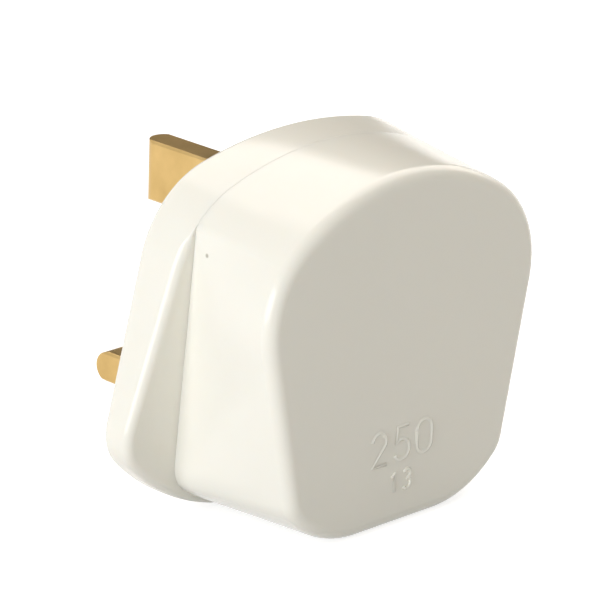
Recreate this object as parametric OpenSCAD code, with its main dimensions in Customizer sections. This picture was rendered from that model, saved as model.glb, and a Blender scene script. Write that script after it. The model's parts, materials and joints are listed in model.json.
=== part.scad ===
// Three pin mains plug with a fuse, to be wired by hand.
// X runs across the plug and Z runs up towards the earth pin. The pins point along +Y.
// The origin is on the engagement face, midway between the two power pins.
// Depth is measured from the engagement face towards the front of the cover, along -Y.

/* [Body] */
// Depth from the engagement face to the front of the cover
body_depth = 22.5; // [21.5:0.5:25]
// Widest width of the base, across the finger grips
flange_w = 60; // [58:0.5:64]
// Widest width of the cover's front
face_w = 47.6; // [46:0.2:50]
// Width of the cover between the finger grips
grip_w = 42.8; // [41.6:0.2:44]
// Height of the body's top above the power pins
body_top = 33.3; // [33:0.1:35]
// Height of the body's bottom below the power pins
body_bottom = 13.6; // [13.2:0.1:15]
// Drop of the cover's front below the body's top
top_draft = 0.8; // [0.4:0.1:1.2]
// Width of the flat land that the plug stands on
land_w = 14; // [14:0.5:16]
// Thickness of the cover's wall
wall = 2.2; // [1.8:0.1:2.5]
// Thickness of the base's floor
floor_t = 3; // [2.6:0.1:3.1]
// Thickness of the base at the bottom edge
parting_low = 3.3; // [3.2:0.1:4]
// Thickness of the base at the top edge
parting_high = 7.4; // [6.8:0.1:8]
// Rounding of the cover's front edge
front_r = 2.2; // [1.6:0.1:2.6]
// Rounding of the base's outer edges
base_edge_r = 1; // [0.6:0.1:1.4]

/* [Outline] */
// Radius of the cover's shoulders
shoulder_r = 13; // [12:0.2:13.6]
// Height of the cover's shoulder centres above the power pins
shoulder_z = 16.2; // [15.4:0.1:16.6]
// Radius of the cover's bottom corners
corner_r = 4.8; // [4:0.1:5.4]
// Width of the cover's front at its bottom corners
foot_w = 39; // [38:0.2:40]
// Height of the bottom corner centres below the power pins
corner_drop = 5.6; // [5:0.1:6]
// Radius of the base's shoulders
base_shoulder_r = 14; // [13:0.1:14.2]
// Width between the base's shoulder centres
base_shoulder_gap = 22; // [20:0.2:24]
// Height of the base's shoulder centres above the power pins
base_shoulder_z = 18; // [17.4:0.1:18.4]
// Radius of the base's bottom corners
base_corner_r = 5.8; // [5:0.1:6.4]
// Height of the base's corner centres below the power pins
base_corner_drop = 0.5; // [0:0.1:1]

/* [Pins] */
// Distance between the two power pins
pin_gap = 22.2; // [22:0.1:22.6]
// Height of the earth pin above the power pins
earth_rise = 22.2; // [22:0.1:22.6]
// Width of a power pin
power_w = 6.35; // [6:0.05:6.6]
// Thickness of a power pin
power_t = 4; // [3.8:0.05:4.2]
// Length of a power pin outside the base
power_len = 17.7; // [17:0.1:18.2]
// Width of the earth pin
earth_w = 4; // [3.8:0.05:4.2]
// Height of the earth pin
earth_h = 8; // [7.6:0.1:8.2]
// Length of the earth pin outside the base
earth_len = 22.7; // [22:0.1:23.2]
// Length of the taper at the earth pin's tip
tip_len = 1.2; // [0.6:0.1:2]
// Width of a terminal head
head_w = 7.6; // [7.2:0.1:8]
// Height of a power pin's terminal head
head_h = 8; // [7.6:0.1:8.2]
// Height of the earth pin's terminal head
earth_head_h = 9; // [8.6:0.1:9.2]
// Depth of a terminal head
head_depth = 8.2; // [7.8:0.1:8.4]
// Depth of the plate behind the line pin
line_plate_t = 2.6; // [2.4:0.1:2.8]
// Radius of the hole for a wire
wire_r = 1.6; // [1.4:0.1:1.7]

/* [Fuse] */
// Length of the cartridge fuse
fuse_len = 25.4; // [25:0.1:25.6]
// Diameter of the cartridge fuse
fuse_d = 6.3; // [6.1:0.05:6.4]
// Length of a fuse cap
cap_len = 5.6; // [5.2:0.1:6]
// Thickness of a fuse clip
clip_t = 0.6; // [0.5:0.05:0.65]
// Width of a fuse clip along the fuse
clip_len = 4.4; // [4:0.1:4.6]
// Height of the line terminal's block
block_h = 5; // [4.8:0.1:5.2]

/* [Screws] */
// Radius of a terminal screw
terminal_screw_r = 1.5; // [1.4:0.1:1.6]
// Radius of a terminal screw's head
terminal_head_r = 2.3; // [2.2:0.1:2.4]
// Height of a small screw's head
screw_head_h = 1.6; // [1.4:0.1:1.8]
// Radius of the cover screw
cover_screw_r = 1.6; // [1.4:0.1:1.7]
// Radius of the cover screw's head
cover_head_r = 2.9; // [2.8:0.1:3.1]
// Height of the cover screw above the power pins
cover_screw_z = 8.6; // [8.2:0.1:9]
// Radius of the threaded insert
insert_r = 2.5; // [2.4:0.1:2.6]
// Length of the threaded insert
insert_len = 6; // [5:0.5:7]

/* [Cable] */
// Diameter of the cable inlet
inlet_d = 8.5; // [8:0.1:9]
// Room between the cord grip's screws and the front of the cover
grip_room = 1.95; // [1.7:0.05:2.1]
// Height of the wall around the inlet
inlet_wall = 3.2; // [2.8:0.1:3.4]
// Distance from the middle to a cord grip post
post_x = 7.6; // [7.4:0.1:7.8]
// Distance of the cord grip below the power pins
grip_drop = 7.4; // [7.3:0.1:7.5]
// Height of the cord grip bar
bar_h = 4.4; // [4.2:0.1:4.5]
// Thickness of the cord grip bar
bar_t = 2.2; // [2:0.1:2.4]

/* [Hidden] */

// Play between two pieces that fit together, the overrun of cuts and the thickness of a thin slice
fit = 0.15;
touch = 0.05;
overrun = 1;
skin = 0.05;
arc_steps = 14;
edge_steps = 3;

// Moulded details of the base and the cover
rib_t = 1.2;
pocket_depth = 9;
lip_h = 1.4;
cover_head_depth = 2.6;
boss_r = 4.2;
boss_depth = 8;
pillar_r = 4;
post_r = 2.3;
saddle_t = 2;
saddle_play = 0.4;
inlet_side = 2.2;
hold_gap = 0.3;
bar_arch_r = 6;
bar_arch_depth = 0.7;
screw_slot_w = 0.8;
screw_slot_depth = 0.8;
pin_chamfer = 0.3;
tip_drop = 0.9;
tip_corner = 0.7;
rivet_r = 1;
rivet_head_r = 1.8;
rivet_head_h = 0.5;
clip_gap = 4.2;
clip_hook = 1.4;
cap_wall = 0.35;
tube_bore_r = 1.7;
fuse_wire_r = 0.25;
washer_t = 0.6;
washer_r = 3;
grip_screw_r = 1.2;
grip_head_r = 2.1;
grip_screw_bite = 5;
terminal_screw_stand = 0.5;
wire_share = 0.45;
screw_tip_share = 0.5;

// Places that follow from the sizes above
pin_x = pin_gap / 2;
land = land_w / 2;
fuse_r = fuse_d / 2;
inlet_r = inlet_d / 2;
head_top = floor_t + head_depth;
plate_top = floor_t + line_plate_t;
ceiling = body_depth - wall;
fuse_axis = plate_top + clip_t + rivet_head_h + touch + fuse_r;
clip_low_z = (clip_len - head_h) / 2;
fuse_low = clip_low_z - cap_len / 2;
fuse_high = fuse_low + fuse_len;
clip_high_z = fuse_high - cap_len / 2;
block_low = fuse_high + hold_gap;
block_z = block_low + block_h / 2;
grip_z = -grip_drop;
bar_top = ceiling - grip_room - screw_head_h;
bar_low = bar_top - bar_t;
inlet_depth = bar_low + bar_arch_depth - inlet_r;
blade_end = floor_t + touch;
wire_depth = floor_t + head_depth * wire_share;
screw_tip = wire_depth + wire_r * screw_tip_share;
insert_low = boss_depth + washer_t + hold_gap + touch;
part_width = flange_w + 2 * overrun;

// A circle's arc as points, between two angles
function arc(centre, r, from, to) =
    [for (i = [0 : arc_steps]) let (a = from + (to - from) * i / arc_steps) centre + r * [cos(a), sin(a)]];

// Radius of an arc that is level at its start and just holds a circle, given by its place from that start
function holding_r(dx, dz, r) = (dx * dx + dz * dz - r * r) / (2 * (dz - r));

// Direction square to the line that touches two circles on their right
function side_angle(upper, upper_r, lower, lower_r) =
    let (v = lower - upper) atan2(v[1], v[0]) + acos((upper_r - lower_r) / norm(v));

// Right half of an outline below its side, from the corner round to the land
function lower_points(corner, r, from, inset) =
    let (
        rise = corner[1] + body_bottom,
        big_r = holding_r(corner[0] - land, rise, r),
        big_c = [land, big_r - body_bottom],
        meet = atan2(corner[1] - big_c[1], corner[0] - big_c[0])
    )
    concat(arc(corner, r - inset, from, meet), arc(big_c, big_r - inset, meet, -90));

// Right half of an outline above its side, from the top round to the shoulder
function upper_points(shoulder, r, top, to, inset) =
    let (
        big_r = holding_r(shoulder[0], top - shoulder[1], r),
        big_c = [0, top - big_r],
        meet = atan2(shoulder[1] - big_c[1], shoulder[0] - big_c[0])
    )
    concat(arc(big_c, big_r - inset, 90, meet), arc(shoulder, r - inset, meet, to));

// Both halves of an outline, from its right half
function mirrored(half) = concat(half, [for (i = [len(half) - 1 : -1 : 0]) [-half[i][0], half[i][1]]]);

function whole_outline(shoulder, upper_r, top, corner, lower_r, inset) =
    let (side = side_angle(shoulder, upper_r, corner, lower_r))
    mirrored(concat(
        upper_points(shoulder, upper_r, top, side, inset),
        lower_points(corner, lower_r, side, inset)
    ));

// Outline of the cover's front
function face_outline(inset) = whole_outline(
    [face_w / 2 - shoulder_r, shoulder_z], shoulder_r, body_top - top_draft,
    [foot_w / 2 - corner_r, -corner_drop], corner_r, inset
);

// Outline of the base
function base_outline(inset) = whole_outline(
    [base_shoulder_gap / 2, base_shoulder_z], base_shoulder_r, body_top,
    [flange_w / 2 - base_corner_r, -base_corner_drop], base_corner_r, inset
);

// Straight sided outline between the finger grips
function grip_outline(inset) =
    let (half = grip_w / 2, corner = [half - corner_r, -corner_drop])
    mirrored(concat([[half - inset, body_top + overrun]], lower_points(corner, corner_r, 0, inset)));

// Depth of the parting plane at a height
function parting(z) =
    parting_low + (parting_high - parting_low) * (z + body_bottom) / (body_top + body_bottom);

// Carries an outline from one depth to another
module slab(from, to) {
    translate([0, -from, 0]) rotate([90, 0, 0]) linear_extrude(to - from) children();
}

// A round bar along the depth
module rod(x, z, r, from, to) {
    translate([x, -from, z]) rotate([90, 0, 0]) cylinder(r = r, h = to - from, $fn = 64);
}

// A round bar along the height
module post(x, depth, r, from, to) {
    translate([x, -depth, from]) cylinder(r = r, h = to - from, $fn = 64);
}

// A block centred on a place, from one depth to another
module block(x, z, w, h, from, to) {
    translate([x - w / 2, -to, z - h / 2]) cube([w, to - from, h]);
}

// Outline of the cover where it meets the base
module root_2d(inset) {
    intersection() {
        polygon(base_outline(inset));
        polygon(grip_outline(inset));
    }
}

// All between a depth and the parting plane, which can be moved towards the cover
module parting_wedge(depth, shift) {
    low = -body_bottom - overrun;
    high = body_top + overrun;
    rotate([90, 0, 90]) linear_extrude(part_width, center = true)
        polygon([
            [-depth, low], [-parting(low) - shift, low],
            [-parting(high) - shift, high], [-depth, high]
        ]);
}

module base_side(shift) {
    parting_wedge(-overrun, shift);
}

module cover_side(shift) {
    parting_wedge(body_depth + overrun, shift);
}

// Solid body of the base, with its back edge rounded and its front cut along the parting plane
module base_body() {
    difference() {
        hull() {
            for (a = [0, 45]) {
                depth = base_edge_r * (1 - cos(a));
                slab(depth, depth + skin) polygon(base_outline(base_edge_r * (1 - sin(a))));
            }
            slab(base_edge_r, parting_high + overrun) polygon(base_outline(0));
        }
        cover_side(0);
    }
}

// Solid body of the cover, with its front edge rounded
module cover_body() {
    hull() {
        slab(0, parting_high) root_2d(0);
        for (i = [0 : edge_steps]) {
            a = 90 * i / edge_steps;
            depth = body_depth - front_r * (1 - sin(a));
            slab(depth - skin, depth) polygon(face_outline(front_r * (1 - cos(a))));
        }
    }
}

// Hollow of the plug from one depth, made smaller by some play
module inner_space(play, from) {
    hull() {
        slab(from, parting_high) root_2d(wall + play);
        slab(ceiling - play - skin, ceiling - play) polygon(face_outline(wall + play));
    }
}

// Four walls that hold a terminal head, with a way in for its wire from below
module pocket(x, z, w, h) {
    gap = 2 * wire_r + 2 * fit;
    difference() {
        block(x, z, w + 2 * (fit + rib_t), h + 2 * (fit + rib_t), floor_t - overrun, pocket_depth);
        block(x, z, w + 2 * fit, h + 2 * fit, floor_t, pocket_depth + overrun);
        block(x, z - h / 2 - rib_t, gap, 2 * rib_t + overrun, floor_t, pocket_depth + overrun);
    }
}

// Slot in the base's floor for a pin
module pin_slot(x, z, w, h) {
    block(x, z, w + 2 * touch, h + 2 * touch, -overrun, floor_t + overrun);
}

// Half of the wall around the cable inlet
module inlet_pad(w, from, to) {
    block(0, inlet_wall / 2 - body_bottom, w, inlet_wall, from, to);
}

module base() {
    color("ivory") difference() {
        union() {
            difference() {
                union() {
                    base_body();
                    intersection() {
                        inner_space(fit, floor_t - overrun);
                        base_side(lip_h);
                    }
                }
                inner_space(fit + rib_t, floor_t);
            }
            intersection() {
                inner_space(fit + rib_t / 2, floor_t - overrun);
                union() {
                    pocket(-pin_x, 0, head_w, head_h);
                    pocket(pin_x, 0, head_w, head_h);
                    pocket(0, earth_rise, head_w, earth_head_h);
                    pocket(
                        pin_x, (clip_high_z - clip_len / 2 + block_low + block_h) / 2,
                        head_w, block_low + block_h - clip_high_z + clip_len / 2
                    );
                    rod(0, cover_screw_z, boss_r, floor_t - overrun, boss_depth);
                    for (side = [-1, 1])
                        rod(side * post_x, grip_z, post_r, floor_t - overrun, bar_low);
                    block(
                        0, grip_z, 2 * post_x, saddle_t,
                        floor_t - overrun, inlet_depth - inlet_r + saddle_play
                    );
                }
            }
            inlet_pad(2 * (inlet_r + inlet_side), floor_t - overrun, inlet_depth);
        }
        pin_slot(-pin_x, 0, power_w, power_t);
        pin_slot(pin_x, 0, power_w, power_t);
        pin_slot(0, earth_rise, earth_w, earth_h);
        rod(0, cover_screw_z, cover_screw_r + fit, -overrun, boss_depth + overrun);
        rod(0, cover_screw_z, cover_head_r + fit, -overrun, cover_head_depth);
        for (side = [-1, 1])
            rod(side * post_x, grip_z, grip_screw_r, bar_low - grip_screw_bite, bar_low + overrun);
        post(pin_x, fuse_axis, fuse_r + hold_gap, fuse_low - overrun, fuse_high + hold_gap);
        post(0, inlet_depth, inlet_r, -body_bottom - overrun, grip_z + saddle_t);
        wire_way();
    }
}

// Way for the line wire through the terminal's pocket, from the middle
module wire_way() {
    gap = 2 * wire_r + 2 * fit;
    block(
        pin_x - head_w / 2 - rib_t, block_z, 2 * rib_t + overrun, gap,
        floor_t, pocket_depth + overrun
    );
}

// Ribs of the cover that keep a terminal head in its pocket
module hold_ribs(x, z, h) {
    for (side = [-1, 1])
        block(
            x + side * (head_w - rib_t) / 2, z, rib_t, h,
            head_top + hold_gap, ceiling + touch
        );
}

module cover() {
    color("ivory") difference() {
        union() {
            difference() {
                cover_body();
                base_side(0);
                inner_space(0, 0);
            }
            intersection() {
                inner_space(-touch, 0);
                union() {
                    rod(0, cover_screw_z, pillar_r, insert_low, ceiling + touch);
                    hold_ribs(-pin_x, 0, head_h - 2 * rib_t);
                    hold_ribs(0, earth_rise, earth_head_h - 2 * rib_t);
                    hold_ribs(pin_x, block_z, block_h - rib_t);
                    for (z = [fuse_low + fuse_len / 3, fuse_high - fuse_len / 3])
                        block(
                            pin_x, z, fuse_d, rib_t,
                            fuse_axis + fuse_r + hold_gap, ceiling + touch
                        );
                    inlet_pad(
                        2 * (inlet_r + inlet_side) + 2 * rib_t, inlet_depth, ceiling + touch
                    );
                }
            }
        }
        rod(0, cover_screw_z, insert_r, insert_low - overrun, insert_low + insert_len);
        rod(
            0, cover_screw_z, cover_screw_r + fit,
            insert_low, insert_low + insert_len + hold_gap
        );
        inlet_pad(2 * (inlet_r + inlet_side + fit), 0, inlet_depth);
        block(
            0, -body_bottom, 2 * (inlet_r + inlet_side + fit), 2 * overrun,
            0, inlet_depth
        );
        post(0, inlet_depth, inlet_r, -body_bottom - overrun, grip_z);
    }
}

// Side view of a power pin, with a round nose, as depth and height
module power_side_2d() {
    translate([-blade_end, -power_t / 2]) square([blade_end + power_len - power_t / 2, power_t]);
    translate([power_len - power_t / 2, 0]) circle(r = power_t / 2, $fn = 64);
}

// Turns a side view of Y and Z into a solid across the plug
module across(x, w) {
    translate([x, 0, 0]) rotate([90, 0, 90]) linear_extrude(w, center = true) children();
}

// End view of a pin with its long edges taken off, as width and height
module pin_end_2d(w, h) {
    polygon([
        [-w / 2 + pin_chamfer, -h / 2], [w / 2 - pin_chamfer, -h / 2],
        [w / 2, -h / 2 + pin_chamfer], [w / 2, h / 2 - pin_chamfer],
        [w / 2 - pin_chamfer, h / 2], [-w / 2 + pin_chamfer, h / 2],
        [-w / 2, h / 2 - pin_chamfer], [-w / 2, -h / 2 + pin_chamfer]
    ]);
}

// Blade of a power pin at a place across the plug
module power_blade(x) {
    intersection() {
        across(x, power_w) power_side_2d();
        translate([x, 0, 0]) slab(-power_len, blade_end) pin_end_2d(power_w, power_t);
    }
}

module neutral_pin() {
    color("gold") difference() {
        union() {
            power_blade(-pin_x);
            block(-pin_x, 0, head_w, head_h, floor_t, head_top);
        }
        post(-pin_x, wire_depth, wire_r, -head_h / 2 - overrun, head_h / 2 - rib_t);
        rod(-pin_x, 0, terminal_screw_r, wire_depth, head_top + overrun);
    }
}

module line_pin() {
    color("gold") difference() {
        union() {
            power_blade(pin_x);
            block(pin_x, 0, head_w, head_h, floor_t, plate_top);
        }
        rod(pin_x, clip_low_z, rivet_r, plate_top - line_plate_t / 2, plate_top + overrun);
    }
}

// Blade of the earth pin, with its tip tapered and its tip's corners taken off
module earth_blade() {
    half = earth_h / 2;
    intersection() {
        translate([0, 0, earth_rise]) across(0, earth_w)
            polygon([
                [-blade_end, -half], [earth_len - tip_len, -half], [earth_len, -half + tip_drop],
                [earth_len, half - tip_drop], [earth_len - tip_len, half], [-blade_end, half]
            ]);
        translate([0, 0, earth_rise]) slab(-earth_len, blade_end) pin_end_2d(earth_w, earth_h);
        translate([0, 0, earth_rise - earth_h]) linear_extrude(2 * earth_h)
            polygon([
                [-earth_w / 2, -blade_end], [-earth_w / 2, earth_len - tip_corner],
                [tip_corner - earth_w / 2, earth_len], [earth_w / 2 - tip_corner, earth_len],
                [earth_w / 2, earth_len - tip_corner], [earth_w / 2, -blade_end]
            ]);
    }
}

module earth_pin() {
    color("gold") difference() {
        union() {
            earth_blade();
            block(0, earth_rise, head_w, earth_head_h, floor_t, head_top);
        }
        post(
            0, wire_depth, wire_r,
            earth_rise - earth_head_h / 2 - overrun, earth_rise + earth_head_h / 2 - rib_t
        );
        rod(0, earth_rise, terminal_screw_r, wire_depth, head_top + overrun);
    }
}

// Brass block for the line wire, with a foot that carries the upper fuse clip
module line_terminal() {
    foot_low = clip_high_z - clip_len / 2;
    color("gold") difference() {
        union() {
            block(pin_x, block_z, head_w, block_h, floor_t, head_top);
            translate([pin_x - head_w / 2, -plate_top, foot_low])
                cube([head_w, line_plate_t, block_z - foot_low]);
        }
        translate([pin_x - head_w / 2 - overrun, -wire_depth, block_z]) rotate([0, 90, 0])
            cylinder(r = wire_r, h = head_w + overrun - rib_t, $fn = 64);
        rod(pin_x, block_z, terminal_screw_r, wire_depth, head_top + overrun);
        rod(pin_x, clip_high_z, rivet_r, plate_top - line_plate_t / 2, plate_top + overrun);
    }
}

// Spring clip seen along the fuse, as width and depth
module clip_2d() {
    inner = fuse_r + touch;
    outer = inner + clip_t;
    translate([0, -fuse_axis]) difference() {
        circle(r = outer, $fn = 96);
        circle(r = inner, $fn = 96);
        translate([-clip_gap / 2, -outer]) square([clip_gap, 2 * outer]);
        translate([-outer, -outer - clip_hook]) square([2 * outer, clip_hook]);
    }
    for (side = [-1, 1])
        translate([side * (inner + clip_t / 2) - clip_t / 2, -fuse_axis])
            square([clip_t, fuse_axis - plate_top]);
    translate([-outer, -plate_top - clip_t]) square([2 * outer, clip_t]);
}

module fuse_clip(z) {
    color("goldenrod") difference() {
        translate([pin_x, 0, z - clip_len / 2]) linear_extrude(clip_len) clip_2d();
        rod(pin_x, z, rivet_r, plate_top - overrun, plate_top + clip_t + overrun);
    }
}

module fuse_clip_lower() {
    fuse_clip(clip_low_z);
}

module fuse_clip_upper() {
    fuse_clip(clip_high_z);
}

module clip_rivet(z) {
    base_end = plate_top + clip_t;
    color("goldenrod") {
        rod(pin_x, z, rivet_r, plate_top - line_plate_t / 2, base_end + rivet_head_h);
        rod(pin_x, z, rivet_head_r, base_end, base_end + rivet_head_h);
    }
}

module clip_rivet_lower() {
    clip_rivet(clip_low_z);
}

module clip_rivet_upper() {
    clip_rivet(clip_high_z);
}

module fuse_tube() {
    color("white") difference() {
        post(pin_x, fuse_axis, fuse_r - cap_wall, fuse_low + cap_wall, fuse_high - cap_wall);
        post(pin_x, fuse_axis, tube_bore_r, fuse_low, fuse_high);
    }
}

// Metal cap of the fuse, closed towards its end
module fuse_cap(end, inward) {
    open = end + inward * cap_len;
    closed = end + inward * cap_wall;
    color("silver") difference() {
        post(pin_x, fuse_axis, fuse_r, min(end, open), max(end, open));
        post(
            pin_x, fuse_axis, fuse_r - cap_wall,
            min(closed, open + inward * overrun), max(closed, open + inward * overrun)
        );
    }
}

module fuse_cap_lower() {
    fuse_cap(fuse_low, 1);
}

module fuse_cap_upper() {
    fuse_cap(fuse_high, -1);
}

module fuse_wire() {
    color("gray") post(pin_x, fuse_axis, fuse_wire_r, fuse_low + cap_wall, fuse_high - cap_wall);
}

// Slotted screw along the depth, with its head towards the cover
module slotted_screw(x, z, r, head_r, from, head_low) {
    head_high = head_low + screw_head_h;
    color("lightgray") difference() {
        union() {
            rod(x, z, r, from, head_high);
            rod(x, z, head_r, head_low, head_high);
        }
        block(
            x, z, 2 * (head_r + overrun), screw_slot_w,
            head_high - screw_slot_depth, head_high + overrun
        );
    }
}

module terminal_screw(x, z) {
    slotted_screw(
        x, z, terminal_screw_r, terminal_head_r, screw_tip, head_top + terminal_screw_stand
    );
}

module earth_terminal_screw() {
    terminal_screw(0, earth_rise);
}

module neutral_terminal_screw() {
    terminal_screw(-pin_x, 0);
}

module line_terminal_screw() {
    terminal_screw(pin_x, block_z);
}

module cord_grip_bar() {
    bar_w = 2 * (post_x + post_r);
    color("ivory") difference() {
        block(0, grip_z, bar_w, bar_h, bar_low, bar_top);
        post(
            0, bar_low + bar_arch_depth - bar_arch_r, bar_arch_r,
            grip_z - bar_h, grip_z + bar_h
        );
        for (side = [-1, 1])
            rod(side * post_x, grip_z, grip_screw_r, bar_low - overrun, bar_top + overrun);
    }
}

module cord_grip_screw(side) {
    slotted_screw(
        side * post_x, grip_z, grip_screw_r, grip_head_r, bar_low - grip_screw_bite, bar_top
    );
}

module cord_grip_screw_left() {
    cord_grip_screw(-1);
}

module cord_grip_screw_right() {
    cord_grip_screw(1);
}

// Screw that joins the base and the cover, with its head sunk in the engagement face
module cover_screw() {
    head_out = cover_head_depth - screw_head_h;
    color("lightgray") difference() {
        union() {
            rod(0, cover_screw_z, cover_screw_r, head_out, insert_low + insert_len);
            rod(0, cover_screw_z, cover_head_r, head_out, cover_head_depth);
        }
        block(
            0, cover_screw_z, 2 * (cover_head_r + overrun), screw_slot_w,
            head_out - overrun, head_out + screw_slot_depth
        );
    }
}

// Washer that keeps the screw in the base when the plug is open
module cover_screw_washer() {
    color("darkgray") difference() {
        rod(0, cover_screw_z, washer_r, boss_depth, boss_depth + washer_t);
        rod(0, cover_screw_z, cover_screw_r, boss_depth - overrun, boss_depth + washer_t + overrun);
    }
}

module cover_insert() {
    color("gold") difference() {
        rod(0, cover_screw_z, insert_r, insert_low, insert_low + insert_len);
        rod(
            0, cover_screw_z, cover_screw_r,
            insert_low - overrun, insert_low + insert_len + overrun
        );
    }
}

base();
cover();
earth_pin();
neutral_pin();
line_pin();
line_terminal();
fuse_clip_lower();
fuse_clip_upper();
clip_rivet_lower();
clip_rivet_upper();
fuse_tube();
fuse_cap_lower();
fuse_cap_upper();
fuse_wire();
earth_terminal_screw();
neutral_terminal_screw();
line_terminal_screw();
cord_grip_bar();
cord_grip_screw_left();
cord_grip_screw_right();
cover_screw();
cover_screw_washer();
cover_insert();
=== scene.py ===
import json
import math

import bpy
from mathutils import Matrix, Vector


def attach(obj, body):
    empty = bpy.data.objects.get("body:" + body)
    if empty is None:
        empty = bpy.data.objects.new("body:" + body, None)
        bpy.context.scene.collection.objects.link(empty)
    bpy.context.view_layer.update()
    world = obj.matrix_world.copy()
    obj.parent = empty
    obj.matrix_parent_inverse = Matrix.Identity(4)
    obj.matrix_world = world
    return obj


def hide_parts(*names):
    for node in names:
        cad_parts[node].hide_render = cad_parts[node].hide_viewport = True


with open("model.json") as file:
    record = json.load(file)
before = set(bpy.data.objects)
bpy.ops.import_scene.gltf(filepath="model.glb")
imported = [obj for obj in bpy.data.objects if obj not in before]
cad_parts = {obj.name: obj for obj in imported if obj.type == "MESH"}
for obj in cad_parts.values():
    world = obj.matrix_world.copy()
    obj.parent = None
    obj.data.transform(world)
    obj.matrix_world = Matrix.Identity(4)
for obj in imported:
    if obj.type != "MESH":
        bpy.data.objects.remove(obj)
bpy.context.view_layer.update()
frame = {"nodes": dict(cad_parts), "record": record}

# A three pin mains plug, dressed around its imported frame. Sizes are in millimetres until they are placed,
# and depth runs along -Y, from the engagement face at Y 0 towards the front of the cover.

mm = 0.001
nodes = frame["nodes"]

merge = {"doubles": 0.001, "flat": 0.4}  # millimetres and degrees
shading = {"smoothAngle": 32, "weight": 60}
rodSides = 96
tiny = 1e-6


# Helpers that stand for a few clicks each

def selectOnly(piece):
    bpy.ops.object.select_all(action="DESELECT")
    piece.select_set(True)
    bpy.context.view_layer.objects.active = piece


def editAll(piece):
    selectOnly(piece)
    bpy.ops.object.mode_set(mode="EDIT")
    bpy.ops.mesh.select_all(action="SELECT")


def leaveEdit():
    bpy.ops.object.mode_set(mode="OBJECT")


def applyModifier(piece, kind, **settings):
    selectOnly(piece)
    bpy.ops.object.modifier_add(type=kind)
    modifier = piece.modifiers[-1]
    for key, value in settings.items():
        setattr(modifier, key, value)
    bpy.ops.object.modifier_apply(modifier=modifier.name)


def combine(piece, other, how, crossed=False):
    # unites, cuts or intersects two closed forms, and drops the second
    applyModifier(piece, "BOOLEAN", operation=how, solver="EXACT", use_self=crossed, object=other)
    bpy.data.objects.remove(other)


def setDown(name):
    # a new primitive's place and size go into its mesh
    bpy.ops.object.transform_apply(location=True, rotation=True, scale=True)
    piece = bpy.context.object
    piece.name = name
    return piece


def addBox(low, high):
    bpy.ops.object.select_all(action="DESELECT")
    bpy.ops.mesh.primitive_cube_add(
        size=1, location=[(a + b) / 2 * mm for a, b in zip(low, high)],
        scale=[(b - a) * mm for a, b in zip(low, high)])
    return setDown("box")


def addRod(centre, radius, length):
    # an upright rod
    bpy.ops.object.select_all(action="DESELECT")
    bpy.ops.mesh.primitive_cylinder_add(
        vertices=rodSides, radius=radius * mm, depth=length * mm, location=[c * mm for c in centre])
    return setDown("rod")


def copyNode(name, pieceName):
    # a loose copy of a CAD node's mesh, with its doubles merged and its flats made whole
    piece = nodes[name].copy()
    piece.data = nodes[name].data.copy()
    piece.parent = None
    piece.name = pieceName
    for key in [key for key in piece.keys() if key.startswith("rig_")]:
        del piece[key]
    bpy.context.scene.collection.objects.link(piece)
    editAll(piece)
    bpy.ops.mesh.remove_doubles(threshold=merge["doubles"] * mm)
    bpy.ops.mesh.dissolve_limited(angle_limit=math.radians(merge["flat"]))
    leaveEdit()
    return piece


def finishPiece(piece, smoothAngle=shading["smoothAngle"]):
    # soft shading on the round stretches and true flats elsewhere
    selectOnly(piece)
    bpy.ops.object.shade_smooth_by_angle(angle=math.radians(smoothAngle))
    applyModifier(piece, "WEIGHTED_NORMAL", keep_sharp=True, weight=shading["weight"])


# Outlines: each is a row of arcs down its right half, where a point is named by the angle it faces

body = {
    "depth": 22.5, "bottom": -13.6, "top": 33.3,
    "partingLow": 3.3, "partingHigh": 7.4,  # the parting plane's depth at the bottom and at the top
    "land": 7.0,  # half the width of the flat underside
}
steps = {"outline": 90, "arc": 2.0, "straight": 1.5}  # a count, degrees and millimetres
backForm = {
    "shoulder": (11, 18), "shoulderRadius": 14, "top": 33.3,
    "corner": (24.2, -0.5), "cornerRadius": 5.8,
}
faceForm = {
    "shoulder": (10.8, 16.2), "shoulderRadius": 13, "top": 32.5,
    "corner": (14.7, -5.6), "cornerRadius": 4.8,
}
gripForm = {"half": 21.4, "corner": (16.6, -5.6), "cornerRadius": 4.8, "apexRadius": 1.6}


def partingDepth(z):
    share = (z - body["bottom"]) / (body["top"] - body["bottom"])
    return body["partingLow"] + (body["partingHigh"] - body["partingLow"]) * share


def holdingRadius(dx, dz, radius):
    # radius of the arc that touches a level line and holds a smaller arc inside it
    return (dx * dx + dz * dz - radius * radius) / (2 * (dz - radius))


def topArc(form):
    (x, z), radius = form["shoulder"], form["shoulderRadius"]
    big = holdingRadius(x, form["top"] - z, radius)
    centre = (0, form["top"] - big)
    return centre, big, math.degrees(math.atan2(z - centre[1], x - centre[0]))


def bottomArc(form):
    (x, z), radius = form["corner"], form["cornerRadius"]
    big = holdingRadius(x - body["land"], z - body["bottom"], radius)
    centre = (body["land"], big + body["bottom"])
    return centre, big, math.degrees(math.atan2(z - centre[1], x - centre[0]))


def roundOutline(form):
    # top, shoulder, corner and bottom, each with the angle at which it ends
    (x, z), (u, w) = form["shoulder"], form["corner"]
    reach = math.acos((form["shoulderRadius"] - form["cornerRadius"]) / math.hypot(u - x, w - z))
    side = math.degrees(math.atan2(w - z, u - x) + reach)
    low, lowRadius, meetLow = bottomArc(form)
    return [
        topArc(form), (form["shoulder"], form["shoulderRadius"], side),
        (form["corner"], form["cornerRadius"], meetLow), (low, lowRadius, -90),
    ]


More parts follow.
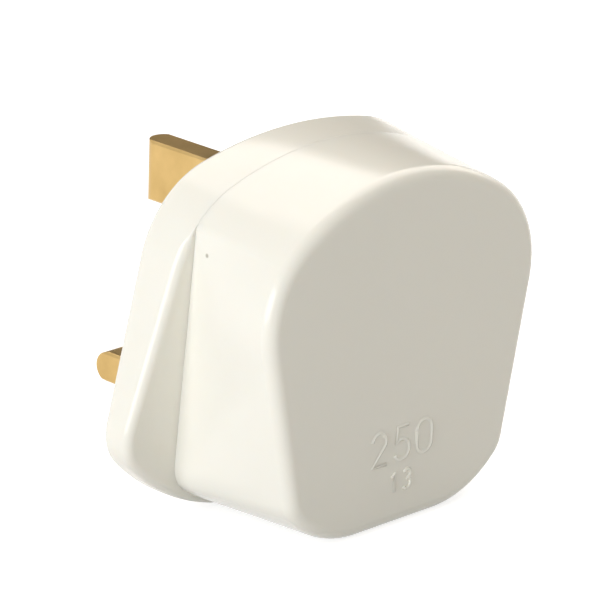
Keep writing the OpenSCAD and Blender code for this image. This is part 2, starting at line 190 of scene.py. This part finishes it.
def rootOutline(base, grip):
    # the base's outline, cut straight at the finger grips, with a small round where the two meet
    (x, z), radius = base["shoulder"], base["shoulderRadius"]
    apex = grip["apexRadius"]
    across = grip["half"] - apex - x
    up = math.sqrt((radius - apex) ** 2 - across ** 2)
    low, lowRadius, meetLow = bottomArc(grip)
    return [
        topArc(base), ((x, z), radius, math.degrees(math.atan2(up, across))),
        ((x + across, z + up), apex, 0), (grip["corner"], grip["cornerRadius"], meetLow),
        (low, lowRadius, -90),
    ]


def blendForms(back, face, share):
    # the back's form, with its top and shoulders moved a share of the way to the face's
    blend = dict(back)
    for key in ("top", "shoulderRadius"):
        blend[key] = back[key] + (face[key] - back[key]) * share
    blend["shoulder"] = [a + (b - a) * share for a, b in zip(back["shoulder"], face["shoulder"])]
    return blend


partingForm = blendForms(backForm, faceForm, body["partingHigh"] / body["depth"])
backOutline = roundOutline(backForm)
partingOutline = roundOutline(partingForm)
faceOutline = roundOutline(faceForm)
coverRoot = rootOutline(partingForm, gripForm)
halfAngles = [90 - 180 * i / steps["outline"] for i in range(steps["outline"] + 1)]


def outlinePoint(outline, angle, inset=0):
    # the point of an outline that faces an angle
    for (x, z), radius, end in outline:
        if angle >= end - tiny:
            break
    turn = math.radians(angle)
    return x + (radius - inset) * math.cos(turn), z + (radius - inset) * math.sin(turn)


def outlineStations(outline):
    # centre, radius and angle of each point down an outline's right half, with its straights in short steps
    stations, angle = [], 90
    for centre, radius, end in outline:
        if stations:
            x, z, lastRadius, _ = stations[-1]
            turn = math.radians(angle)
            gap = math.hypot(
                centre[0] - x + (radius - lastRadius) * math.cos(turn),
                centre[1] - z + (radius - lastRadius) * math.sin(turn))
            count = math.ceil(gap / steps["straight"])
            for i in range(1, count):
                share = i / count
                stations.append((
                    x + (centre[0] - x) * share, z + (centre[1] - z) * share,
                    lastRadius + (radius - lastRadius) * share, angle))
        count = math.ceil((angle - end) / steps["arc"])
        for i in range(count + 1):
            stations.append((*centre, radius, angle + (end - angle) * i / count))
        angle = end
    return stations


def stationPoint(station, inset=0):
    x, z, radius, angle = station
    turn = math.radians(angle)
    return x + (radius - inset) * math.cos(turn), z + (radius - inset) * math.sin(turn)


def stationShares(stations):
    # how far down the outline each station lies, from 0 to 1
    points = [Vector(stationPoint(station)) for station in stations]
    run = [0]
    for a, b in zip(points, points[1:]):
        run.append(run[-1] + (b - a).length)
    return [r / run[-1] for r in run]


def matchStations(stations, shares):
    # the stations of one outline at the shares of another
    own, matched, k = stationShares(stations), [], 0
    for share in shares:
        while k < len(own) - 2 and own[k + 1] < share:
            k += 1
        step = own[k + 1] - own[k]
        part = (share - own[k]) / step if step else 0
        matched.append([a + (b - a) * part for a, b in zip(stations[k], stations[k + 1])])
    return matched


rootStations = outlineStations(coverRoot)
faceStations = matchStations(outlineStations(faceOutline), stationShares(rootStations))
coverRow = range(len(rootStations))


def closedRing(rule, row=halfAngles):
    # both halves of a ring, from a rule that gives x, depth and z at an angle or station of the right half
    right = [rule(place) for place in row]
    left = [(-x, depth, z) for x, depth, z in reversed(right[1:])]
    return [Vector((x, -depth, z)) * mm for x, depth, z in right + left]


def closeUp():
    # ends an edit of a whole piece with its doubles merged and its faces turned outwards
    bpy.ops.mesh.select_all(action="SELECT")
    bpy.ops.mesh.remove_doubles(threshold=merge["doubles"] * mm)
    bpy.ops.mesh.normals_make_consistent(inside=False)
    leaveEdit()


def loftRings(name, rings):
    # a circle takes the first ring's shape and is extruded from ring to ring, then both ends are closed
    count = len(rings[0])
    bpy.ops.object.select_all(action="DESELECT")
    bpy.ops.mesh.primitive_circle_add(vertices=count, radius=body["top"] * mm)
    piece = bpy.context.object
    piece.name = name
    for vertex, point in zip(piece.data.vertices, rings[0]):
        vertex.co = point
    editAll(piece)
    for ring in rings[1:]:
        bpy.ops.mesh.extrude_region_move()
        leaveEdit()
        for vertex, point in zip(piece.data.vertices[-count:], ring):
            vertex.co = point
        bpy.ops.object.mode_set(mode="EDIT")
    bpy.ops.mesh.edge_face_add()
    leaveEdit()
    for vertex in piece.data.vertices:
        vertex.select = vertex.index < count
    for edge in piece.data.edges:
        edge.select = all(v < count for v in edge.vertices)
    for face in piece.data.polygons:
        face.select = False
    bpy.ops.object.mode_set(mode="EDIT")
    bpy.ops.mesh.edge_face_add()
    closeUp()
    return piece


# Cover: lofted from the parting plane to the front, and given the CAD node's inside

cover = {
    "front": 22.28,  # the flat's depth, under the numbers' 22.5
    "frontRadius": 1.75, "frontSteps": 12, "wallSteps": 8,
    "seamRadius": 0.05, "seamTurns": (0, 30, 60, 90),
    "seamShift": 0.01,  # keeps the cover's edge off the base's
    "skinIn": 1.0,  # the lofted skin is this thick
    "coreIn": 0.7,  # and the CAD node's inside reaches this near the surface
    "notch": ((-6.62, -11.02, -15.0), (6.62, 1, -10.38)),  # corners of the box that cuts it, at the inlet
}
inlet = {"radius": 4.27, "depth": 11.0, "from": -15.0, "to": -7.4}  # the cable's hole, between two heights


def coverRing(along, inset, shift=0):
    # a ring of the cover's wall, where along runs from 0 at the parting plane to 1 at the front edge
    edge = cover["front"] - cover["frontRadius"]

    def rule(i):
        x0, z0 = stationPoint(rootStations[i], inset)
        x1, z1 = stationPoint(faceStations[i], inset)
        start = partingDepth(z0) + shift
        return x0 + (x1 - x0) * along, start + (edge - start) * along, z0 + (z1 - z0) * along
    return closedRing(rule, coverRow)


def frontRing(turn, inset):
    # a ring of the rounded front edge, where turn runs from 0 at the wall to 90 at the face
    radius = cover["frontRadius"] - inset
    depth = cover["front"] - cover["frontRadius"] + radius * math.sin(math.radians(turn))
    off = cover["frontRadius"] - radius * math.cos(math.radians(turn))

    def rule(i):
        x, z = stationPoint(faceStations[i], off)
        return x, depth, z
    return closedRing(rule, coverRow)


def coverRings(inset, openEnd):
    # the open end runs on through the base's depth, for the forms that cut or limit the shell
    if openEnd:
        def rule(i):
            x, z = stationPoint(rootStations[i], inset)
            return x, 0, z
        rings = [closedRing(rule, coverRow), coverRing(0, inset)]
    else:
        seam = cover["seamRadius"]
        rings = []
        for turn in cover["seamTurns"]:
            back = 1 - math.sin(math.radians(turn))
            rise = 1 - math.cos(math.radians(turn))
            rings.append(coverRing(0, seam * back, cover["seamShift"] + seam * rise))
    wall, front = cover["wallSteps"], cover["frontSteps"]
    rings += [coverRing(i / wall, inset) for i in range(1, wall + 1)]
    rings += [frontRing(90 * i / front, inset) for i in range(1, front + 1)]
    return rings


coverShell = loftRings("cover_shell", coverRings(0, False))
combine(coverShell, loftRings("inner", coverRings(cover["skinIn"], True)), "DIFFERENCE")
coverCore = copyNode("cover", "cover_core")
combine(coverCore, loftRings("core_limit", coverRings(cover["coreIn"], True)), "INTERSECT")
combine(coverShell, coverCore, "UNION")
combine(coverShell, addBox(*cover["notch"]), "DIFFERENCE")
inletMiddle = (0, -inlet["depth"], (inlet["from"] + inlet["to"]) / 2)
combine(coverShell, addRod(inletMiddle, inlet["radius"], inlet["to"] - inlet["from"]), "DIFFERENCE")

# plain raised numbers on the face, drawn as single round strokes: the rating in volts and in amperes
numbers = [
    {"digits": "250", "height": 4.4, "radius": 0.32, "place": (0, -4.9)},
    {"digits": "13", "height": 2.5, "radius": 0.26, "place": (0, -9.0)},
]
# digits are one unit high, and each stroke is a row of corners and arcs (centre, radius, from and to angle)
digit = {"step": 0.92, "width": 0.6, "arcSteps": 16, "bevel": 3}
strokes = {
    "0": [((0.3, 0.7), 0.3, 180, 0), ((0.3, 0.3), 0.3, 0, -180), (0, 0.7)],
    "1": [(0.12, 0.8), (0.34, 1), (0.34, 0)],
    "2": [((0.3, 0.72), 0.28, 170, -40), (0.02, 0), (0.6, 0)],
    "3": [((0.3, 0.76), 0.24, 150, -90), ((0.3, 0.26), 0.27, 85, -150)],
    "5": [(0.55, 1), (0.12, 1), (0.07, 0.53), ((0.3, 0.31), 0.31, 120, -150)],
}


def strokePoints(row):
    points = []
    for step in row:
        if len(step) == 2:
            points.append(step)
            continue
        (u, w), radius, start, end = step
        for i in range(digit["arcSteps"] + 1):
            turn = math.radians(start + (end - start) * i / digit["arcSteps"])
            points.append((u + radius * math.cos(turn), w + radius * math.sin(turn)))
    return points


for number in numbers:
    height, wide = number["height"], digit["step"] * (len(number["digits"]) - 1) + digit["width"]
    curve = bpy.data.curves.new("number", "CURVE")
    curve.dimensions = "3D"
    curve.bevel_depth = number["radius"] * mm
    curve.bevel_resolution = digit["bevel"]
    curve.use_fill_caps = True
    for i, figure in enumerate(number["digits"]):
        points = strokePoints(strokes[figure])
        line = curve.splines.new("POLY")
        line.points.add(len(points) - 1)
        for point, (u, w) in zip(line.points, points):
            x = number["place"][0] + (u + digit["step"] * i - wide / 2) * height
            z = number["place"][1] + w * height
            point.co = (x * mm, -(body["depth"] - number["radius"]) * mm, z * mm, 1)
    raised = bpy.data.objects.new("number", curve)
    bpy.context.scene.collection.objects.link(raised)
    selectOnly(raised)
    bpy.ops.object.convert(target="MESH")
    raised = bpy.context.object
    editAll(raised)
    closeUp()
    combine(coverShell, raised, "UNION", True)
finishPiece(coverShell)
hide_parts("cover")
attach(coverShell, "root")
print("cover shell:", len(coverShell.data.polygons), "faces")


# Base: its rim is lofted too, around the CAD node's middle, and the tongue at the inlet is kept as it is

base = {
    "backRadius": 1.0, "backSteps": 8, "wallSteps": 3,
    "seamRadius": 0.05, "flangeRadius": 1.15, "frontSteps": 10,
    "radiusShare": 0.5,  # how much of the ledge's width its soft edge may take
    "skinIn": 1.5, "coreIn": 1.2,  # as the cover's
    "past": (-1.0, 15.4),  # depths between which the inner forms run, past both ends
    "tongue": ((-6.5, -11.1, -14.6), (6.5, -2.0, -9.0)),  # corners of the box around it, at the inlet
}
coverRootPoints = [outlinePoint(coverRoot, angle) for angle in halfAngles]


def flangeRadius(angle):
    # the flange's front edge is soft where it stands clear of the cover, and crisp where the two are flush
    x, z = outlinePoint(partingOutline, angle)
    ledge = min(math.hypot(x - u, z - w) for u, w in coverRootPoints)
    return min(base["flangeRadius"], max(base["seamRadius"], base["radiusShare"] * ledge))


def baseRing(share, insetAt, depthAt):
    # share is how far the ring is from the back's outline to the one at the parting plane, and the rules
    # give a point's inset and depth from its angle and height
    def point(angle):
        inset = insetAt(angle)
        x0, z0 = outlinePoint(backOutline, angle, inset)
        x1, z1 = outlinePoint(partingOutline, angle, inset)
        z = z0 + (z1 - z0) * share
        return x0 + (x1 - x0) * share, depthAt(angle, z), z
    return closedRing(point)


def baseRings():
    back, wall = base["backRadius"], base["wallSteps"]
    rings = []
    for i in range(base["backSteps"] + 1):
        turn = math.radians(90 * i / base["backSteps"])
        rings.append(baseRing(
            0, lambda angle: back * (1 - math.sin(turn)), lambda angle, z: back * (1 - math.cos(turn))))
    for i in range(1, wall):
        rings.append(baseRing(
            i / wall, lambda angle: 0,
            lambda angle, z: back + (partingDepth(z) - flangeRadius(angle) - back) * (i / wall)))
    for i in range(base["frontSteps"] + 1):
        turn = math.radians(90 * i / base["frontSteps"])
        rings.append(baseRing(
            1, lambda angle: flangeRadius(angle) * (1 - math.cos(turn)),
            lambda angle, z: partingDepth(z) - flangeRadius(angle) * (1 - math.sin(turn))))
    return rings


def innerRings(inset):
    return [baseRing(1, lambda angle: inset, lambda angle, z: depth) for depth in base["past"]]


baseShell = loftRings("base_shell", baseRings())
combine(baseShell, loftRings("inner", innerRings(base["skinIn"])), "DIFFERENCE")
baseCore = copyNode("base", "base_core")
combine(baseCore, loftRings("core_limit", innerRings(base["coreIn"])), "INTERSECT")
combine(baseShell, baseCore, "UNION")
tongue = copyNode("base", "tongue")
combine(tongue, addBox(*base["tongue"]), "INTERSECT")
combine(baseShell, tongue, "UNION")
finishPiece(baseShell)
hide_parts("base")
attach(baseShell, "root")
print("base shell:", len(baseShell.data.polygons), "faces")


# Pins: the CAD nodes' own forms, with the edges outside the body softened

pins = {
    "sharp": 20, "outside": 0.5,  # the edges that are softened: their angle in degrees, and how far out
    "edgeRadius": 0.25, "segments": 4, "smoothAngle": 40,
    "earthReach": 22.7, "earthHeight": 22.2, "earthWide": 20,
    "even": (14.0, 21.0),  # the stretch of the earth pin whose section is drawn out to the tip
    "tipRound": 2.02,
}


def roundTip(pin):
    # the earth pin keeps its height out to the tip, which is round as seen from above
    start, end = pins["even"]
    wide, low, high = pins["earthWide"], body["bottom"], body["top"]
    stretch = copyNode("earth_pin", "stretch")
    combine(stretch, addBox((-wide, start, low), (wide, end, high)), "INTERSECT")
    for vertex in stretch.data.vertices:
        vertex.co.y += (pins["earthReach"] - end) * mm
    combine(pin, stretch, "UNION")
    reach = pins["earthReach"] - pins["tipRound"]
    limit = addBox((-wide, -2 * wide, low), (wide, reach, high))
    combine(limit, addRod((0, reach, pins["earthHeight"]), pins["tipRound"], wide), "UNION")
    combine(pin, limit, "INTERSECT")


pinShells = []
for name in ("earth_pin", "neutral_pin", "line_pin"):
    pin = copyNode(name, name + "_soft")
    if name == "earth_pin":
        roundTip(pin)
    editAll(pin)
    bpy.ops.mesh.select_all(action="DESELECT")
    bpy.ops.mesh.edges_select_sharp(sharpness=math.radians(pins["sharp"]))
    leaveEdit()
    weights = pin.data.attributes.new("bevel_weight_edge", "FLOAT", "EDGE")
    for edge in pin.data.edges:
        far = max(pin.data.vertices[v].co.y for v in edge.vertices)
        weights.data[edge.index].value = 1 if edge.select and far > pins["outside"] * mm else 0
    applyModifier(
        pin, "BEVEL", limit_method="WEIGHT", width=pins["edgeRadius"] * mm,
        segments=pins["segments"], use_clamp_overlap=True)
    finishPiece(pin, pins["smoothAngle"])
    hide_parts(name)
    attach(pin, "root")
    pinShells.append(pin)
    print(name, "softened:", len(pin.data.polygons), "faces")


# Materials, all of noise on Object coordinates: what the finishes share, then each finish

noiseSpan = (0.1, 0.9)
plastic = {
    "clouds": 45, "gloss": 120, "grain": 200, "detail": 1,  # noise scales
    "shade": 0.985, "specular": 0.45,
    "grainDepth": 0.01, "grainStrength": 0.15,
}
metal = {
    "clouds": 260, "streaks": 3000, "detail": 3,
    "cloudSpan": (0.3, 0.7),
    "streakDepth": 0.004, "streakStrength": 0.3,
}
finishLooks = {
    "cream_plastic": {"name": "creamPlastic", "tone": (0.91, 0.89, 0.81), "roughness": (0.16, 0.21)},
    "pin_brass": {
        "name": "pinBrass", "tone": (0.64, 0.44, 0.18), "dark": (0.54, 0.365, 0.14),
        "roughness": (0.27, 0.35), "drawn": (1, 0.04, 1),
    },
    "clip_metal": {
        "name": "clipMetal", "tone": (0.7, 0.5, 0.25), "dark": (0.64, 0.45, 0.22),
        "roughness": (0.25, 0.33), "drawn": (1, 0.2, 1),
    },
    "fuse_ceramic": {"name": "fuseCeramic", "tone": (0.82, 0.8, 0.74), "roughness": (0.5, 0.6)},
    "cap_metal": {
        "name": "capMetal", "tone": (0.72, 0.72, 0.7), "dark": (0.62, 0.62, 0.6),
        "roughness": (0.2, 0.3), "drawn": (1, 1, 0.1),
    },
    "screw_metal": {
        "name": "screwMetal", "tone": (0.6, 0.6, 0.58), "dark": (0.48, 0.48, 0.47),
        "roughness": (0.3, 0.42), "drawn": (1, 1, 1),
    },
    "washer_fibre": {"name": "washerFibre", "tone": (0.3, 0.07, 0.03), "roughness": (0.7, 0.8)},
}
# a little light goes through the cream plastic, warm and about a millimetre deep
lightThrough = {"weight": 0.25, "radius": (1, 0.85, 0.7), "scale": 1.2}
speck = {"place": (-21.7, -8.9, 23.1), "radius": 0.38, "core": 0.6, "tone": (0.48, 0.45, 0.38)}


def newMaterial(name):
    material = bpy.data.materials.new(name)
    material.use_nodes = True
    tree = material.node_tree
    return material, tree, tree.nodes["Principled BSDF"]


def addNoise(tree, scale, detail, stretch=(1, 1, 1)):
    place = tree.nodes.new("ShaderNodeTexCoord")
    mapping = tree.nodes.new("ShaderNodeMapping")
    mapping.inputs["Scale"].default_value = stretch
    noise = tree.nodes.new("ShaderNodeTexNoise")
    noise.inputs["Scale"].default_value = scale
    noise.inputs["Detail"].default_value = detail
    tree.links.new(place.outputs["Object"], mapping.inputs["Vector"])
    tree.links.new(mapping.outputs["Vector"], noise.inputs["Vector"])
    return noise.outputs["Fac"]


def addRamp(tree, source, low, high):
    # a colour ramp between two stops, each a place and a colour
    ramp = tree.nodes.new("ShaderNodeValToRGB")
    for element, (place, colour) in zip(ramp.color_ramp.elements, (low, high)):
        element.position = place
        element.color = (*colour, 1)
    tree.links.new(source, ramp.inputs["Fac"])
    return ramp.outputs["Color"]


def addRange(tree, source, span, low, high):
    mapRange = tree.nodes.new("ShaderNodeMapRange")
    mapRange.inputs["From Min"].default_value = span[0]
    mapRange.inputs["From Max"].default_value = span[1]
    mapRange.inputs["To Min"].default_value = low
    mapRange.inputs["To Max"].default_value = high
    tree.links.new(source, mapRange.inputs["Value"])
    return mapRange.outputs["Result"]


def addBump(tree, shader, height, depth, strength):
    bump = tree.nodes.new("ShaderNodeBump")
    bump.inputs["Distance"].default_value = depth * mm
    bump.inputs["Strength"].default_value = strength
    tree.links.new(height, bump.inputs["Height"])
    tree.links.new(bump.outputs["Normal"], shader.inputs["Normal"])


def plasticMaterial(name, tone, roughness):
    # soft clouds in the colour and in the gloss, and a fine grain
    material, tree, shader = newMaterial(name)
    low = [c * plastic["shade"] for c in tone]
    clouds = addNoise(tree, plastic["clouds"], plastic["detail"])
    colour = addRamp(tree, clouds, (noiseSpan[0], low), (noiseSpan[1], tone))
    tree.links.new(colour, shader.inputs["Base Color"])
    gloss = addNoise(tree, plastic["gloss"], plastic["detail"])
    tree.links.new(addRange(tree, gloss, noiseSpan, *roughness), shader.inputs["Roughness"])
    shader.inputs["Specular IOR Level"].default_value = plastic["specular"]
    grain = addNoise(tree, plastic["grain"], plastic["detail"])
    addBump(tree, shader, grain, plastic["grainDepth"], plastic["grainStrength"])
    return material


def metalMaterial(name, tone, dark, roughness, drawn):
    # soft clouds in the colour, and fine streaks along the drawn length in the gloss
    material, tree, shader = newMaterial(name)
    shader.inputs["Metallic"].default_value = 1
    clouds = addNoise(tree, metal["clouds"], metal["detail"])
    colour = addRamp(tree, clouds, (metal["cloudSpan"][0], dark), (metal["cloudSpan"][1], tone))
    tree.links.new(colour, shader.inputs["Base Color"])
    streaks = addNoise(tree, metal["streaks"], metal["detail"], drawn)
    gloss = addRange(tree, streaks, noiseSpan, roughness[1], roughness[0])
    tree.links.new(gloss, shader.inputs["Roughness"])
    addBump(tree, shader, streaks, metal["streakDepth"], metal["streakStrength"])
    return material


def addSpeck(material, place, radius, core, tone):
    # a small dark speck in the surface, even out to its core and faded out to its radius
    tree = material.node_tree
    shader = tree.nodes["Principled BSDF"]
    coordinate = tree.nodes.new("ShaderNodeTexCoord")
    away = tree.nodes.new("ShaderNodeVectorMath")
    away.operation = "DISTANCE"
    away.inputs[1].default_value = [c * mm for c in place]
    tree.links.new(coordinate.outputs["Object"], away.inputs[0])
    spot = addRange(tree, away.outputs["Value"], (radius * core * mm, radius * mm), 1, 0)
    blend = tree.nodes.new("ShaderNodeMix")
    blend.data_type = "RGBA"
    tree.links.new(spot, blend.inputs["Factor"])
    # the colour sockets go by number: 6 and 7 are mixed, and 2 is the result
    tree.links.new(shader.inputs["Base Color"].links[0].from_socket, blend.inputs[6])
    blend.inputs[7].default_value = (*tone, 1)
    tree.links.new(blend.outputs[2], shader.inputs["Base Color"])


finishes = {}
for slot, look in finishLooks.items():
    finishes[slot] = metalMaterial(**look) if "drawn" in look else plasticMaterial(**look)
creamShader = finishes["cream_plastic"].node_tree.nodes["Principled BSDF"]
creamShader.inputs["Subsurface Weight"].default_value = lightThrough["weight"]
creamShader.inputs["Subsurface Radius"].default_value = lightThrough["radius"]
creamShader.inputs["Subsurface Scale"].default_value = lightThrough["scale"] * mm
addSpeck(finishes["cream_plastic"], **speck)


def dress(piece, material):
    piece.data.materials.clear()
    piece.data.materials.append(material)


for part in frame["record"]["subparts"]:
    dress(nodes[part["node"]], finishes[part["material_slot"]])
for piece in (coverShell, baseShell):
    dress(piece, finishes["cream_plastic"])
for piece in pinShells:
    dress(piece, finishes["pin_brass"])
print("materials set on", len(nodes), "nodes and", 2 + len(pinShells), "finer forms")


# Floor, light and camera

studio = {  # places and sizes in metres, power in watts
    "floorSize": 6.0, "floorTone": 0.6, "floorRoughness": 0.9, "floorSpecular": 0.1, "floorGlow": 0.72,
    "ambient": 0.4, "ambientTone": (1, 0.97, 0.875),
    "keyPlace": (-0.9, -0.11, 0.13), "keySize": 0.75, "keyPower": 8.6, "keyTone": (0.94, 0.958, 1),
    "topPlace": (0.58, 0.3, 0.68), "topSize": 1.2, "topPower": 8.6, "topTone": (1, 0.93, 0.88),
    "flagPlace": (0.22, 0.236, 0.13), "flagSize": (0.26, 0.18), "flagTone": 0.03, "flagRoughness": 1,
}
view = {
    "azimuth": -46, "elevation": 19.5, "roll": 1.8,
    "distance": 0.7, "clipStart": 0.05,  # metres
    "lens": 334,
    "centre": (0, 0, 10), "right": 2.9, "up": 0.1,  # what the picture's middle looks at, in millimetres
}


def addSeen(tree):
    # 1 for rays that show the background, straight or in gloss, and 0 for rays that light the object
    path = tree.nodes.new("ShaderNodeLightPath")
    total = path.outputs["Is Camera Ray"]
    for name in ("Is Glossy Ray", "Is Transmission Ray"):
        more = tree.nodes.new("ShaderNodeMath")
        more.operation = "MAXIMUM"
        tree.links.new(total, more.inputs[0])
        tree.links.new(path.outputs[name], more.inputs[1])
        total = more.outputs[0]
    return total


def floorMaterial():
    # pale, and white where it is seen, with the object's shadow kept
    material, tree, shader = newMaterial("floorWhite")
    shader.inputs["Base Color"].default_value = (*[studio["floorTone"]] * 3, 1)
    shader.inputs["Roughness"].default_value = studio["floorRoughness"]
    shader.inputs["Specular IOR Level"].default_value = studio["floorSpecular"]
    shader.inputs["Emission Color"].default_value = (1, 1, 1, 1)
    glow = tree.nodes.new("ShaderNodeMath")
    glow.operation = "MULTIPLY"
    glow.inputs[1].default_value = studio["floorGlow"]
    tree.links.new(addSeen(tree), glow.inputs[0])
    tree.links.new(glow.outputs[0], shader.inputs["Emission Strength"])
    return material


bpy.ops.object.select_all(action="DESELECT")
bpy.ops.mesh.primitive_plane_add(size=studio["floorSize"], location=(0, 0, body["bottom"] * mm))
floor = setDown("floor")
dress(floor, floorMaterial())

world = bpy.data.worlds.new("studio")
bpy.context.scene.world = world
world.use_nodes = True
background = world.node_tree.nodes["Background"]
light = [studio["ambient"] * c for c in studio["ambientTone"]]
seenTone = addRamp(world.node_tree, addSeen(world.node_tree), (0, light), (1, (1, 1, 1)))
world.node_tree.links.new(seenTone, background.inputs["Color"])
background.inputs["Strength"].default_value = 1


def addLamp(name):
    place = studio[name + "Place"]
    bpy.ops.object.light_add(type="AREA", location=place)
    lamp = bpy.context.object
    lamp.name = name + "Lamp"
    lamp.data.size = studio[name + "Size"]
    lamp.data.energy = studio[name + "Power"]
    lamp.data.color = studio[name + "Tone"]
    lamp.rotation_euler = (-Vector(place)).to_track_quat("-Z", "Y").to_euler()


addLamp("key")
addLamp("top")

# a dark flag behind the plug, out of the camera's sight, that the tops of the pins reflect
bpy.ops.object.select_all(action="DESELECT")
bpy.ops.mesh.primitive_plane_add(
    size=1, location=studio["flagPlace"],
    rotation=(-Vector(studio["flagPlace"])).to_track_quat("Z", "Y").to_euler())
bpy.ops.transform.resize(value=(studio["flagSize"][0], studio["flagSize"][1], 1), orient_type="LOCAL")
flag = setDown("flag")
flagMaterial, _, flagShader = newMaterial("flagDark")
flagShader.inputs["Base Color"].default_value = (*[studio["flagTone"]] * 3, 1)
flagShader.inputs["Roughness"].default_value = studio["flagRoughness"]
dress(flag, flagMaterial)
flag.visible_camera = False


def placeCamera():
    azimuth, elevation = math.radians(view["azimuth"]), math.radians(view["elevation"])
    ahead = Vector((
        -math.sin(azimuth) * math.cos(elevation),
        math.cos(azimuth) * math.cos(elevation), -math.sin(elevation)))
    right = Vector((math.cos(azimuth), math.sin(azimuth), 0))
    up = right.cross(ahead)
    aim = (Vector(view["centre"]) + right * view["right"] + up * view["up"]) * mm
    bpy.ops.object.camera_add(location=aim - ahead * view["distance"])
    camera = bpy.context.object
    camera.rotation_euler = ahead.to_track_quat("-Z", "Y").to_euler()
    camera.rotation_euler.rotate_axis("Z", math.radians(view["roll"]))
    camera.data.lens = view["lens"]
    camera.data.clip_start = view["clipStart"]
    bpy.context.scene.camera = camera


placeCamera()
bpy.context.scene.view_settings.view_transform = "Standard"
print("studio: a floor, two lamps, a flag and the camera")
